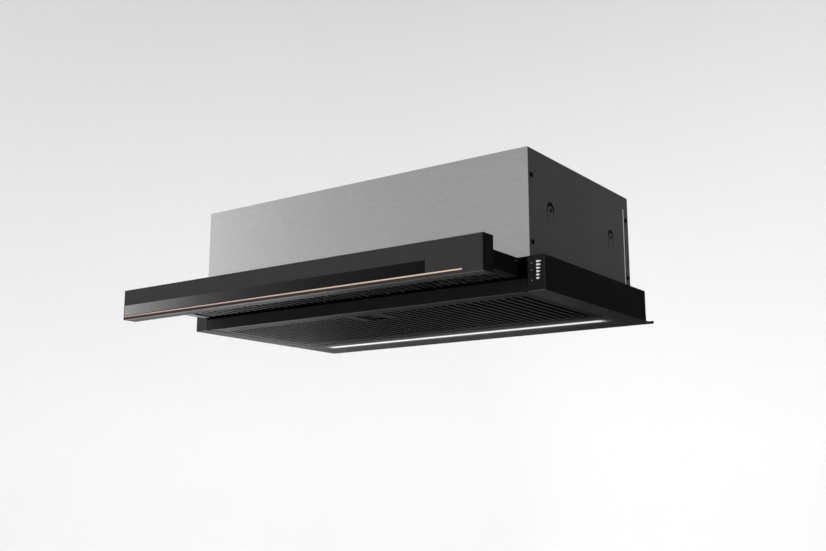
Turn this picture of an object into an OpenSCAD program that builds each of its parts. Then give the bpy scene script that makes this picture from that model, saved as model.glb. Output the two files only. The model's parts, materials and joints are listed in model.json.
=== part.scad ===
// Telescopic range hood for a wall cabinet: a casing with the blower stands on a shallow frame,
// and a visor with its own grille slides out of the frame on ball runners.
// X runs along the width, +Y towards the wall and +Z up. The origin is the middle of the
// footprint on the underside, with the visor drawn out as far as it stands at rest.

/* [Frame] */
// Width of the frame and of the visor front
front_w = 598; // [560:1:900]
// Depth of the frame without the rear spacer
frame_d = 297; // [290:1:330]
// Height of the frame
frame_h = 43.2; // [43:0.1:50]
// Thickness of the folded sheet metal
sheet_t = 1; // [0.8:0.1:1.1]
// Width of the box beam at each end of the frame
cheek_w = 23; // [22:1:30]
// How far the beam's lower flange reaches in past its inner wall
cheek_flange = 8.5; // [8:0.5:12]
// Height of the rail under the visor
rail_h = 16.2; // [14:0.1:16.2]
// Depth of the strip that closes the gap to the wall
spacer_d = 27.6; // [10:0.1:60]
// Height of the turned-up edges of that strip
spacer_lip = 4; // [2:0.5:10]

/* [Casing] */
// How far each side of the casing stands in from the end of the frame
casing_in = 20.5; // [19.5:0.5:21]
// Distance from the rear of the frame to the rear of the casing
casing_rear = 2.5; // [1:0.1:6]
// Height of the casing above the frame
casing_h = 138.8; // [137:0.1:200]
// How far the casing stands back from the front of the frame
casing_back = 1.1; // [0.5:0.1:3]
// Depth of the folded edges inside the casing
fold_d = 14; // [13:1:16]
// Depth of the rear panel's folded sides
rear_fold_d = 26; // [24:1:40]
// Width of the slit near the rear of each side
slit_w = 5; // [3:0.5:8]
// Height of the slit
slit_h = 120.5; // [60:0.5:128]
// Distance of the slit's middle from the rear of the casing
slit_in = 14; // [13:0.5:20]

/* [Side fixings] */
// Width of a spring tab
tab_w = 17.4; // [14:0.1:22]
// Length of a spring tab from its root to the top of its arch
tab_h = 26; // [22:0.5:34]
// Width of the cut round a tab
tab_cut = 1.4; // [1:0.1:2]
// Radius of the screw hole in a tab
tab_hole_r = 2.25; // [1.8:0.05:3]
// Height of the screw hole above the frame
tab_hole_z = 69.2; // [60:0.1:90]
// Distance from the casing's front to the first tab
tab_y = 57; // [40:0.5:80]
// Distance between the two tabs of a side
tab_pitch = 176.2; // [120:0.1:190]

/* [Outlet] */
// Outer diameter of the duct collar
collar_d = 119.2; // [118:0.1:121]
// Height of the collar above the casing
collar_h = 32; // [30:1:40]
// Wall of the collar
collar_t = 2; // [1.6:0.1:2.2]
// Width of the collar's base flange
collar_flange = 12; // [11:0.5:16]
// Thickness of the collar's base flange
collar_flange_t = 2.4; // [2:0.1:4]
// Radius of the pin that carries both flaps
flap_pin_r = 1.2; // [1:0.1:1.6]
// Thickness of a flap
flap_t = 1.4; // [1:0.1:1.6]

/* [Blower] */
// Outer diameter of the fan wheel
wheel_d = 94; // [88:0.5:95]
// Width of the fan wheel
wheel_w = 78; // [60:1:79]
// Radial depth of the fan wheel's blades
blade_d = 8.5; // [7:0.5:9]
// Number of blades on each side of the wheel's middle disc
blades = 30; // [20:1:36]
// Gap between wheel and spiral where the spiral starts
tongue_gap = 5; // [4:0.5:5.5]
// How much the spiral opens over its run
spiral_growth = 30; // [26:0.5:30.5]
// Inner width of the spiral housing
scroll_w = 88; // [84:1:90]
// Wall of the spiral housing
scroll_t = 1.5; // [1.2:0.1:1.6]
// Diameter of the motor
motor_d = 60; // [50:1:62]
// Length of the motor
motor_l = 58; // [50:1:70]
// Radius of the motor shaft
shaft_r = 4; // [3:0.1:5]

/* [Visor] */
// How far the back of the visor front stands out of the frame at rest
visor_out = 116.1; // [60:0.1:130]
// Thickness of the visor front
visor_t = 21; // [18:0.5:26]
// Height of the visor front
visor_h = 42.2; // [40:0.1:42.6]
// Wall of the visor front
visor_wall = 3; // [2.5:0.1:4]
// Depth of the tray behind the visor front
tray_d = 236; // [230:1:238]
// Height of the tray's sides
tray_h = 22.5; // [21.8:0.1:23.5]
// Gap between the tray and the beams beside it
tray_gap = 5; // [4.6:0.1:6]
// Clear height between the rail and the tray
tray_rise = 0.3; // [0.3:0.1:0.6]
// Height of the gloss inlay
inlay_h = 14.5; // [10:0.5:20]
// Height of the inlay's lower edge above the bottom of the visor front
inlay_z = 5.8; // [5.4:0.1:9]
// Length of matte face left beside the inlay
inlay_end = 77.6; // [40:0.1:120]
// Height of the copper trim
trim_h = 1.6; // [1:0.1:2]
// Height of the trim's lower edge above the bottom of the visor front
trim_z = 3.6; // [2:0.1:3.6]
// Length of matte face left beside the trim
trim_end = 28; // [10:1:60]

/* [Grilles] */
// Distance from slot to slot
slot_pitch = 12; // [10:0.5:16]
// Width of a slot
slot_w = 5.8; // [4:0.1:7]
// Plain border in front of the slots of the filter
slot_front = 20; // [16:0.5:26]
// Plain border behind the slots of the filter
slot_back = 15; // [10:0.5:24]
// Plain border beside the slots
slot_side = 11.5; // [9:0.5:30]
// Plain border round the slots of the visor grille
visor_border = 6; // [5:0.5:10]

/* [Filter] */
// Depth of the fixed deck behind the filter
deck_d = 71.5; // [66:0.5:80]
// Height of the filter
filter_h = 9; // [8.5:0.1:10]
// Gap round the filter
filter_gap = 0.9; // [0.6:0.1:1.2]
// How far the filter's face stands above the underside
filter_rise = 0.4; // [0.3:0.1:0.6]
// Width of the latch window
latch_w = 29; // [26:0.5:34]
// Length of the latch window
latch_l = 40; // [36:0.5:46]
// Travel of the latch
latch_travel = 4; // [3:0.5:4]

/* [Light] */
// Distance from each end of the frame to the end of the light slot
light_side = 50.5; // [49:0.5:99]
// Width of the light slot
light_w = 10; // [6:0.5:12]
// Distance from the rear of the frame to the middle of the light slot
light_in = 38; // [34:1:44]

/* [Runners] */
// Height of a runner
runner_h = 17; // [16.5:0.1:17.2]
// Thickness of a runner
runner_t = 10; // [10:0.1:10.6]
// Length of each runner member
runner_l = 230; // [200:1:231]

/* [Controls] */
// Height of a key at its round end
key_h = 2.4; // [2:0.1:2.6]
// Width of the top key
key_w = 6.4; // [6:0.1:8]
// Share of its width that a key loses down to the lowest one
key_taper_share = 0.365; // [0:0.005:0.5]
// Distance from key to key
key_pitch = 4.1; // [4:0.05:4.4]
// Height of the top key's middle above the underside
key_top_z = 35.2; // [34:0.1:36]
// Distance from the end of the frame to the keys' left edge
key_in = 11; // [10:0.1:13]
// Travel of a key
key_travel = 1; // [0.6:0.1:1.2]

/* [Hidden] */
$fn = 48;

// Colours
steel_c = [0.72, 0.71, 0.70];
paint_c = [0.20, 0.20, 0.21];
under_c = [0.33, 0.33, 0.34];
zinc_c = [0.62, 0.64, 0.66];
front_c = [0.24, 0.24, 0.25];
gloss_c = [0.05, 0.05, 0.06];
copper_c = [0.85, 0.58, 0.44];
plastic_c = [0.11, 0.11, 0.12];
white_c = [0.95, 0.95, 0.93];
board_c = [0.10, 0.36, 0.18];

// Clearances
seat_gap = 0.3;
fit_gap = 0.05;
slide_gap = 0.3;
overrun = 0.5;

// Gap between each end of the front rail and the beam beside it
rail_gap = 1.2;

// Step in the top of each beam, in which a side of the casing stands
rebate_h = 0.5;

// Outlines of the frame
half_w = front_w / 2;
beam_x = half_w - cheek_w;
flange_x = beam_x - cheek_flange;
light_l = 2 * (half_w - light_side);
front_y = (visor_out + visor_t - frame_d - spacer_d) / 2;
rear_y = front_y + frame_d;
fascia_t = 2.5;
fascia_plug = 10;
fascia_wall = 1.5;

// Outlines of the casing
casing_x = half_w - casing_in;
inner_x = casing_x - sheet_t;
casing_y = front_y + casing_back;
casing_end_y = rear_y - casing_rear;
casing_top = frame_h + casing_h;
inner_y = casing_y + sheet_t;
inner_end_y = casing_end_y - sheet_t;

// Screws of the casing
screw_r = 1.5;
screw_head_r = 3.1;
screw_head_h = 1.7;
screw_l = 7;
side_screw_in = 8.1;
side_screw_low = 19.7;
side_screw_high = 105;
under_screw_in = 7;
under_screw_r = 2.4;

// Outlet and blower places
outlet_r = collar_d / 2;
bore_r = outlet_r - collar_t;
wheel_r = wheel_d / 2;
tongue_r = wheel_r + tongue_gap;
tongue_angle = 70;
end_r = tongue_r + spiral_growth;
outlet_y = (casing_y + casing_end_y) / 2;
throat_front = tongue_r * cos(tongue_angle);
axle_y = outlet_y - (end_r + throat_front) / 2;
spiral_steps = 30;
scroll_x = scroll_w / 2;
scroll_top = casing_top - sheet_t;
scroll_under = 2;
axle_z = frame_h + scroll_under + scroll_t + spiral_r(270);
flange_t = 2;
scroll_flange = 9;

// Height and ends of the tray and of the runners in it
tray_x = beam_x - tray_gap;
tray_z = rail_h + tray_rise;
tray_y = front_y - visor_out;
tray_end_y = tray_y + tray_d;
tray_top = tray_z + tray_h;
visor_z = 0.2;
runner_rise = 1.8;
runner_z = tray_z + sheet_t + runner_rise;
runner_x = tray_x - sheet_t - runner_t;
runner_in = 4;
runner_y = front_y + runner_in;
bracket_x = runner_x - sheet_t;
race_gap = 2;
middle_h = runner_h - 2 * (sheet_t + race_gap);
inner_h = middle_h - 2 * (sheet_t + 0.9 * race_gap);
ball_r = race_gap / 2 - slide_gap;
balls = 7;

// Filter
face_t = sheet_t;
filter_x = flange_x - filter_gap;
front_flange = 6.4;
hinge_gap = 1.7;
filter_y = front_y + front_flange + filter_gap;
deck_y = rear_y - deck_d;
filter_end_y = deck_y - hinge_gap;
filter_d = filter_end_y - filter_y;
latch_y = filter_y + slot_front + face_t;

// A range of places moved along by a base
function off(base, range) = [base + range[0], base + range[1]];

// Radius of the spiral at an angle measured from the rear towards the top
function spiral_r(a) = tongue_r + spiral_growth * (a - tongue_angle) / (360 - tongue_angle);

// Points of the spiral's inner or outer outline, from the tongue round to the rear
function spiral_points(grow) = [for (i = [0:spiral_steps])
    let (a = tongue_angle + (360 - tongue_angle) * i / spiral_steps)
    (spiral_r(a) + grow) * [cos(a), sin(a)]];

// A box between two corners given as ranges along X, Y and Z
module slab(x, y, z) translate([x[0], y[0], z[0]])
    cube([x[1] - x[0], y[1] - y[0], z[1] - z[0]]);

// Draws its children and their mirror image on the left
module both_sides() {
    children();
    mirror([1, 0, 0]) children();
}

// A straight slot with round ends along Y, as a flat shape
module slot_shape(w, l) {
    translate([-w / 2, w / 2]) square([w, l - w]);
    translate([0, w / 2]) circle(d = w);
    translate([0, l - w / 2]) circle(d = w);
}

// Pan-head screw along -X with its head's underside at the origin
module side_screw() rotate([0, 90, 0]) {
    cylinder(r1 = screw_head_r, r2 = screw_head_r * 0.7, h = screw_head_h);
    translate([0, 0, -screw_l]) cylinder(r = screw_r, h = screw_l);
}

// Casing

module front_panel() color(steel_c) {
    slab([-casing_x, casing_x], [casing_y, inner_y], [frame_h, casing_top]);
    both_sides() difference() {
        slab([inner_x - sheet_t, inner_x], [inner_y, inner_y + fold_d],
            [frame_h + sheet_t, scroll_top - sheet_t]);
        side_screw_holes();
    }
    slab([-inner_x, inner_x], [inner_y, inner_y + fold_d], [scroll_top - sheet_t, scroll_top]);
    slab([-inner_x, inner_x], [inner_y, inner_y + fold_d], [frame_h, frame_h + sheet_t]);
}

// Flat shape of the cut round a spring tab, with the tab's hole
module tab_cut_shape() {
    r = tab_w / 2;
    leg = tab_h - r;
    difference() {
        union() {
            translate([0, leg]) circle(r = r);
            translate([-r, 0]) square([tab_w, leg]);
        }
        translate([0, leg]) circle(r = r - tab_cut);
        translate([tab_cut - r, -overrun]) square([tab_w - 2 * tab_cut, leg + overrun]);
    }
}

// The right side of the casing; the left one is its mirror image
module side_panel() {
    hole_z = frame_h + tab_hole_z;
    difference() {
        slab([inner_x, casing_x], [inner_y, casing_end_y], [frame_h, casing_top]);
        for (y = [tab_y, tab_y + tab_pitch]) {
            translate([inner_x - overrun, casing_y + y, hole_z - tab_h + tab_w / 2])
                rotate([90, 0, 90]) linear_extrude(sheet_t + 2 * overrun) tab_cut_shape();
            translate([inner_x - overrun, casing_y + y, hole_z])
                rotate([0, 90, 0]) cylinder(r = tab_hole_r, h = sheet_t + 2 * overrun);
        }
        slab([inner_x - overrun, casing_x + overrun],
            off(casing_end_y - slit_in, slit_w / 2 * [-1, 1]), [frame_h + 2 * sheet_t, frame_h + slit_h]);
        side_screw_holes();
    }
    slab([inner_x, casing_x], [front_y + fascia_t + seat_gap, casing_end_y],
        [frame_h - rebate_h, frame_h]);
    slab([inner_x - fold_d, inner_x], [inner_y + fold_d + seat_gap, inner_end_y - rear_fold_d - seat_gap],
        [scroll_top - sheet_t, scroll_top]);
}

// Puts its children at the four screws of the right side, on the panel's face
module side_screw_places() {
    for (y = [side_screw_in + casing_y, casing_end_y - side_screw_in])
        for (z = [side_screw_low, side_screw_high])
            translate([casing_x, y, frame_h + z]) children();
}

// Cuts the holes of those screws through the side and the fold behind it
module side_screw_holes() side_screw_places() rotate([0, -90, 0]) translate([0, 0, -overrun])
    cylinder(r = screw_r + fit_gap, h = 2 * sheet_t + 2 * overrun);

module side_panel_left() color(paint_c) mirror([1, 0, 0]) side_panel();

module side_panel_right() color(paint_c) side_panel();

module back_panel() color(zinc_c) {
    rib_w = 10;
    rib_h = 0.8;
    rib_l_share = 0.8;
    rib_z_shares = [0.28, 0.72];
    slab([-inner_x, inner_x], [inner_end_y, casing_end_y], [frame_h, casing_top]);
    both_sides() difference() {
        slab([inner_x - sheet_t, inner_x], [inner_end_y - rear_fold_d, inner_end_y],
            [frame_h + sheet_t, scroll_top - sheet_t]);
        side_screw_holes();
    }
    slab([-inner_x, inner_x], [inner_end_y - fold_d, inner_end_y],
        [scroll_top - sheet_t, scroll_top]);
    for (share = rib_z_shares)
        slab(rib_l_share * inner_x * [-1, 1], [casing_end_y, casing_end_y + rib_h],
            off(frame_h + casing_h * share, rib_w / 2 * [-1, 1]));
}

module top_panel() color(zinc_c) difference() {
    slab([-inner_x, inner_x], [inner_y, inner_end_y], [scroll_top, casing_top]);
    translate([0, outlet_y, scroll_top - overrun]) cylinder(r = bore_r, h = sheet_t + 2 * overrun);
    gland_place() translate([0, 0, -sheet_t - overrun]) cylinder(r = gland_r, h = sheet_t + 2 * overrun);
    collar_screw_places() translate([0, 0, -sheet_t - overrun])
        cylinder(r = screw_r + fit_gap, h = sheet_t + 2 * overrun);
}

module housing_screws() color(zinc_c) {
    collar_screws();
    both_sides() side_screw_places() side_screw();
    both_sides() translate([flange_x + cheek_flange / 2, front_y + under_screw_in, 0]) {
        cylinder(r = under_screw_r, h = 0.6 * sheet_t);
        cylinder(r = screw_r, h = screw_l);
    }
}

// Frame

// The right end of the frame: a closed box beam with a flange that borders the filter
module cheek() {
    y = [front_y + fascia_t, rear_y];
    difference() {
        slab([flange_x, half_w], y, [0, frame_h]);
        slab([flange_x - overrun, beam_x], [front_y, rear_y + overrun], [sheet_t, frame_h + overrun]);
        slab([beam_x + sheet_t, half_w - sheet_t], [front_y, rear_y + overrun],
            [sheet_t, frame_h - sheet_t]);
        slab([beam_x - overrun, casing_x + seat_gap], [front_y, rear_y + overrun],
            [frame_h - rebate_h, frame_h + overrun]);
        translate([flange_x + cheek_flange / 2, front_y + under_screw_in, -overrun]) {
            cylinder(r = under_screw_r + fit_gap, h = overrun + 0.6 * sheet_t);
            cylinder(r = screw_r + fit_gap, h = sheet_t + 2 * overrun);
        }
    }
}

module cheek_left() color(paint_c) mirror([1, 0, 0]) cheek();

module cheek_right() color(paint_c) cheek();

module front_rail() color(under_c) {
    x = beam_x - rail_gap;
    slab([-x, x], [front_y, front_y + sheet_t], [0, rail_h]);
    slab([-flange_x, flange_x], [front_y + sheet_t, front_y + front_flange], [0, sheet_t]);
    slab([-x, x], [front_y + sheet_t, front_y + filter_h + sheet_t], [rail_h - sheet_t, rail_h]);
}

module rear_deck() color(under_c) difference() {
    slab([-flange_x, flange_x], [deck_y, rear_y - sheet_t], [0, sheet_t]);
    light_place() translate([0, 0, -overrun]) linear_extrude(sheet_t + 2 * overrun)
        rotate(90) translate([0, -light_l / 2]) slot_shape(light_w, light_l);
}

module rear_wall() color(zinc_c) {
    x = beam_x - seat_gap;
    slab([-flange_x, flange_x], [rear_y - sheet_t, rear_y], [0, sheet_t]);
    slab([-x, x], [rear_y - sheet_t, rear_y], [sheet_t, frame_h]);
    slab([-x, x], [rear_y - fold_d, rear_y - sheet_t], [frame_h - sheet_t, frame_h]);
}

module rear_spacer() color(under_c) {
    slab([-half_w, half_w], [rear_y, rear_y + spacer_d], [0, sheet_t]);
    slab([-half_w, half_w], [rear_y, rear_y + sheet_t], [sheet_t, 2 * spacer_lip]);
    slab([-half_w, half_w], [rear_y + spacer_d - sheet_t, rear_y + spacer_d], [sheet_t, spacer_lip]);
}

// The moulded face and plug that close the front of a beam
module beam_face() {
    slab([beam_x, half_w], [front_y, front_y + fascia_t], [0, frame_h]);
    difference() {
        slab([beam_x + sheet_t + seat_gap, half_w - sheet_t - seat_gap],
            [front_y + fascia_t, front_y + fascia_t + fascia_plug],
            [sheet_t + seat_gap, frame_h - sheet_t - seat_gap]);
        slab([beam_x + sheet_t + seat_gap + fascia_wall, half_w - sheet_t - seat_gap - fascia_wall],
            [front_y + fascia_t, front_y + fascia_t + fascia_plug + overrun],
            [sheet_t + seat_gap + fascia_wall, frame_h - sheet_t - seat_gap - fascia_wall]);
    }
}

module end_fascia() color(plastic_c) mirror([1, 0, 0]) beam_face();

module control_fascia() color(plastic_c) difference() {
    beam_face();
    for (i = [0:5]) translate([half_w - key_in, front_y + fascia_t + overrun, key_top_z - i * key_pitch])
        rotate([90, 0, 0]) linear_extrude(fascia_t + 2 * overrun) offset(r = key_gap) key_shape(i);
    for (share = lamp_z_shares) translate([lamp_x, front_y - overrun, share * frame_h])
        rotate([-90, 0, 0]) cylinder(r = lamp_r, h = fascia_t + 2 * overrun);
}

// Controls

key_gap = 0.25;
key_tip = 1;
key_proud = 0.3;
key_collar = 0.5;
key_collar_t = 0.8;
key_stem = 3.2;
lamp_r = 0.6;
lamp_collar_gap = 0.4;
lamp_in = 17.2;
lamp_x = half_w - lamp_in;
lamp_z_shares = [0.782, 0.583, 0.294];
key_back_y = front_y + fascia_t + seat_gap + key_travel;
board_y = key_back_y + key_collar_t + key_stem;
board_t = 1.6;

// Width of key number i, counted from the top
function key_width(i) = key_w * (1 - key_taper_share * i / 5);

// Outline of key number i: round at the left, narrowing to a small tip
module key_shape(i) hull() {
    translate([key_h / 2, 0]) circle(d = key_h, $fn = 20);
    translate([key_width(i) - key_tip / 2, 0]) circle(d = key_tip, $fn = 12);
}

// A key, the collar that keeps it behind the fascia and the stem to its switch
module key(i) color(white_c) translate([half_w - key_in, 0, key_top_z - i * key_pitch]) {
    w = key_width(i);
    front = front_y - key_proud;
    back = key_back_y - key_travel;
    translate([0, back, 0]) rotate([90, 0, 0]) linear_extrude(back - front) key_shape(i);
    slab([-key_collar, w + key_collar], off(back, [0, key_collar_t]), (key_h / 2 + key_collar) * [-1, 1]);
    translate([w / 2, back + key_collar_t, 0]) rotate([-90, 0, 0])
        cylinder(r = key_h / 3, h = key_stem - key_travel);
}

module key_1() key(0);
module key_2() key(1);
module key_3() key(2);
module key_4() key(3);
module key_5() key(4);
module key_6() key(5);

// The board behind the keys, with a switch for each
module key_board() color(board_c) {
    x = [beam_x + sheet_t + seat_gap + fascia_wall, half_w - sheet_t - seat_gap - fascia_wall];
    z = [sheet_t + seat_gap + fascia_wall, frame_h - sheet_t - seat_gap - fascia_wall];
    slab(x, [board_y, board_y + board_t], z);
    for (i = [0:5]) translate([half_w - key_in + key_width(i) / 2, 0, key_top_z - i * key_pitch])
        slab(key_h * [-1, 1], [board_y - key_travel + seat_gap, board_y], key_h / 2 * [-1, 1]);
}

// Light guides that lead three lamps on the board to the fascia's face
module key_lamps() color(white_c)
    for (share = lamp_z_shares) translate([lamp_x, front_y, share * frame_h]) rotate([-90, 0, 0]) {
        cylinder(r = lamp_r - fit_gap, h = fascia_t + lamp_collar_gap);
        translate([0, 0, fascia_t + lamp_collar_gap])
            cylinder(r = 2 * lamp_r, h = board_y - front_y - fascia_t - lamp_collar_gap);
    }

// Outlet

gland_r = 8;
gland_x = 200;
gland_in = 44;
collar_screw_r = (bore_r + outlet_r + collar_flange) / 2 + collar_t;
flap_z = casing_top + collar_flange_t + flap_pin_r + 3.5 * flap_t;
knuckle_r = flap_pin_r + flap_t;
flap_rest = 3;
flap_clear = 0.8;
knuckles = 4;
pin_end = 1.2;

module gland_place() translate([gland_x, inner_end_y - gland_in, casing_top]) children();

module collar_screw_places() for (a = [45:90:315])
    translate([0, outlet_y, casing_top]) rotate(a) translate([collar_screw_r, 0, 0]) children();

// Round collar that a duct slides over, with a ledge inside for the flaps and lugs for their pin
module outlet_collar() color(plastic_c) translate([0, outlet_y, 0]) difference() {
    union() {
        translate([0, 0, casing_top]) cylinder(r = outlet_r + collar_flange, h = collar_flange_t);
        translate([0, 0, casing_top]) cylinder(r = outlet_r, h = collar_h);
    }
    translate([0, 0, casing_top - overrun]) cylinder(r = bore_r - flap_rest, h = collar_h + 2 * overrun);
    translate([0, 0, flap_z - flap_t / 2 - seat_gap]) cylinder(r = bore_r, h = collar_h);
    translate([-bore_r - pin_end, 0, flap_z]) rotate([0, 90, 0])
        cylinder(r = flap_pin_r, h = 2 * (bore_r + pin_end));
    for (a = [45:90:315]) rotate(a) translate([collar_screw_r, 0, casing_top - overrun])
        cylinder(r = screw_r + fit_gap, h = collar_flange_t + 2 * overrun);
}

module collar_screws() collar_screw_places() {
    translate([0, 0, collar_flange_t])
        cylinder(r1 = screw_head_r, r2 = screw_head_r * 0.7, h = screw_head_h);
    translate([0, 0, collar_flange_t - screw_l]) cylinder(r = screw_r, h = screw_l);
}

module flap_pin() color(zinc_c) translate([-bore_r - pin_end, outlet_y, flap_z]) rotate([0, 90, 0])
    cylinder(r = flap_pin_r, h = 2 * (bore_r + pin_end));

// One half-round flap on the +Y side, with every second knuckle of the row from the given start
module flap(start) {
    r = bore_r - flap_clear;
    step = 2 * (bore_r - 5 * flap_t) / (2 * knuckles);
    x0 = -knuckles * step;
    difference() {
        union() {
            difference() {
                cylinder(r = r, h = flap_t, center = true);
                slab([-bore_r, bore_r], [-bore_r, knuckle_r + slide_gap], [-flap_t, flap_t]);
            }
            for (i = [start:2:2 * knuckles - 1]) translate([x0 + i * step, 0, 0]) {
                slab([slide_gap, step - slide_gap], [0, knuckle_r + 2 * slide_gap], flap_t / 2 * [-1, 1]);
                translate([slide_gap, 0, 0]) rotate([0, 90, 0])
                    cylinder(r = knuckle_r, h = step - 2 * slide_gap);
            }
        }
        translate([-bore_r, 0, 0]) rotate([0, 90, 0]) cylinder(r = flap_pin_r + fit_gap, h = 2 * bore_r);
    }
}

module flap_front() color(plastic_c) translate([0, outlet_y, flap_z]) mirror([0, 1, 0]) flap(0);

module flap_back() color(plastic_c) translate([0, outlet_y, flap_z]) flap(1);

module cable_gland() color(plastic_c) gland_place() difference() {
    union() {
        cylinder(r = gland_r + 3 * sheet_t, h = 3 * sheet_t, $fn = 6);
        translate([0, 0, 3 * sheet_t]) cylinder(r1 = gland_r, r2 = 0.75 * gland_r, h = gland_r);
        translate([0, 0, -gland_r]) cylinder(r = gland_r - fit_gap, h = gland_r);
        translate([0, 0, -sheet_t - 3 * sheet_t]) cylinder(r = gland_r + 2 * sheet_t, h = 3 * sheet_t);
    }
    translate([0, 0, -gland_r - overrun]) cylinder(r = gland_r / 2, h = 3 * gland_r);
}

// Blower

// Puts its children at the wheel's axle, with the shape's Y up and its extrusion along +X
module on_axle(x) translate([x, axle_y, axle_z]) rotate([90, 0, 90]) children();

// Flat outline of the spiral with its upright throat, grown by a wall
module scroll_shape(grow) {
    top = scroll_top - axle_z;
    polygon(concat(
        [[throat_front - grow, top]],
        spiral_points(grow),
        [[end_r + grow, top]]));
}

// The right half of the spiral housing, split at the middle of the wheel
module scroll_half() {
    top_z = scroll_top - flange_t;
    difference() {
        union() {
            on_axle(0) linear_extrude(scroll_x + scroll_t) scroll_shape(scroll_t);
            slab([0, scroll_x + scroll_flange],
                [axle_y + throat_front - scroll_flange, axle_y + end_r + scroll_flange],
                [top_z, scroll_top]);
            for (a = [120:60:330]) on_axle(0) rotate(a)
                translate([spiral_r(a) + scroll_t + ear_r / 2, 0, 0]) cylinder(r = ear_r, h = ear_t);
        }
        on_axle(-overrun) linear_extrude(scroll_x + overrun) scroll_shape(0);
        on_axle(0) cylinder(r = inlet_r, h = scroll_x + scroll_t + overrun);
        slab([-overrun, scroll_x], [axle_y + throat_front, axle_y + end_r],
            [axle_z + tongue_r, scroll_top + overrun]);
        for (a = [120:60:330]) on_axle(-overrun) rotate(a)
            translate([spiral_r(a) + scroll_t + ear_r, 0, 0])
                cylinder(r = screw_r, h = ear_t + 2 * overrun);
    }
}

ear_r = 5;
ear_t = 6;
inlet_r = wheel_r - blade_d;
ring_r = 5;
ring_seat = 4;

module scroll_left() color(plastic_c) mirror([1, 0, 0]) scroll_half();

module scroll_right() color(plastic_c) scroll_half();

// Rounded inlet rings that lead the air into both sides of the wheel
module inlet_rings() color(zinc_c) both_sides() on_axle(scroll_x + scroll_t) rotate_extrude()
    difference() {
        translate([inlet_r - ring_seat / 2, 0]) square([ring_r + ring_seat, ring_r]);
        translate([inlet_r - ring_seat / 2, ring_r]) circle(r = ring_r - sheet_t);
    }

// Flat shape of one forward-curved blade: an arc leaning forward from the inner rim
module blade_shape() {
    chord = (blade_d - 2 * blade_t) / cos(blade_lean);
    bend = chord * bend_share;
    low = acos(chord / 2 / (bend + blade_t));
    translate([inlet_r + blade_t, 0]) rotate(blade_lean) translate([chord / 2, -bend * sin(low)])
        polygon([for (i = [0:2 * blade_steps + 1])
            let (k = min(i, 2 * blade_steps + 1 - i), a = low + (180 - 2 * low) * k / blade_steps)
            (bend + (i > blade_steps ? 0 : blade_t)) * [cos(a), sin(a)]]);
}

blade_t = 0.8;
blade_lean = 24;
blade_steps = 4;
bend_share = 0.72;
hub_r = 9;
disc_t = 1.6;
rim_t = 2.4;

// Double-inlet wheel: a middle disc with a hub and a rim at each end, which hold the blades
module impeller() color(plastic_c) on_axle(0) difference() {
    union() {
        translate([0, 0, -disc_t / 2]) cylinder(r = wheel_r, h = disc_t);
        translate([0, 0, -hub_l]) cylinder(r = hub_r, h = hub_l);
        for (side = [-1, 1]) translate([0, 0, side * (wheel_w - rim_t) / 2 - rim_t / 2]) difference() {
            cylinder(r = wheel_r, h = rim_t);
            translate([0, 0, -overrun]) cylinder(r = inlet_r + blade_t / 2, h = rim_t + 2 * overrun);
        }
    }
    translate([0, 0, -hub_l - overrun]) cylinder(r = shaft_r, h = hub_l + disc_t + 2 * overrun);
}

// Blades on both sides of the wheel, each held between the middle disc and a rim
module impeller_blades() color(plastic_c) {
    blade_l = (wheel_w - disc_t) / 2 - rim_t;
    for (x = [-blade_l - disc_t / 2, disc_t / 2]) on_axle(x) linear_extrude(blade_l)
        for (i = [0:blades - 1]) rotate(i * 360 / blades) blade_shape();
}

hub_l = 16;
motor_x = 6;
shaft_end = 6;

module motor_shaft() color(zinc_c) on_axle(-hub_l - shaft_end / 2)
    cylinder(r = shaft_r, h = hub_l + motor_x + motor_l + 1.5 * shaft_end);

// Motor with a finned body, end bells and a bearing boss at each end
module motor() color(steel_c) on_axle(motor_x) difference() {
    r = motor_d / 2;
    bell = motor_l / 5;
    union() {
        cylinder(r1 = 0.8 * r, r2 = r, h = bell);
        translate([0, 0, bell]) cylinder(r = 0.94 * r, h = motor_l - 2 * bell);
        for (i = [1:4]) translate([0, 0, bell + i * (motor_l - 2 * bell) / 5 - sheet_t])
            cylinder(r = r, h = 2 * sheet_t);
        translate([0, 0, motor_l - bell]) cylinder(r1 = r, r2 = 0.8 * r, h = bell);
    }
    translate([0, 0, -overrun]) cylinder(r = shaft_r + fit_gap, h = motor_l + 2 * overrun);
}

// Three-armed carrier that holds the motor in the right inlet
module motor_bracket() color(zinc_c) {
    ring_in = motor_d / 2 + seat_gap;
    arm_x = scroll_x + scroll_t + ring_r;
    arm_w = 10;
    arm_r = inlet_r + ring_seat / 2 + 2 * ring_r + ear_r;
    on_axle(arm_x) difference() {
        union() {
            cylinder(r = ring_in + 2 * sheet_t, h = arm_w / 2);
            for (a = [30:120:270]) rotate(a) {
                translate([ring_in, -arm_w / 2, 0]) cube([arm_r - ring_in, arm_w, 2 * sheet_t]);
                translate([arm_r - 2 * sheet_t, -arm_w / 2, -ring_r]) cube([2 * sheet_t, arm_w, ring_r]);
            }
        }
        translate([0, 0, -overrun]) cylinder(r = ring_in, h = arm_w);
    }
}

// Electrics on the casing's roof

cap_r = 14;
cap_l = 52;
cap_x = -152;
box_w = 120;
box_d = 70;
box_h = 34;
box_wall = 2;
board_in = box_wall + 2 * seat_gap;
box_gland_share = 0.6;
box_x = gland_x - box_w * box_gland_share;
box_y = inner_end_y - rear_fold_d - box_d - 3 * seat_gap;

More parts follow.
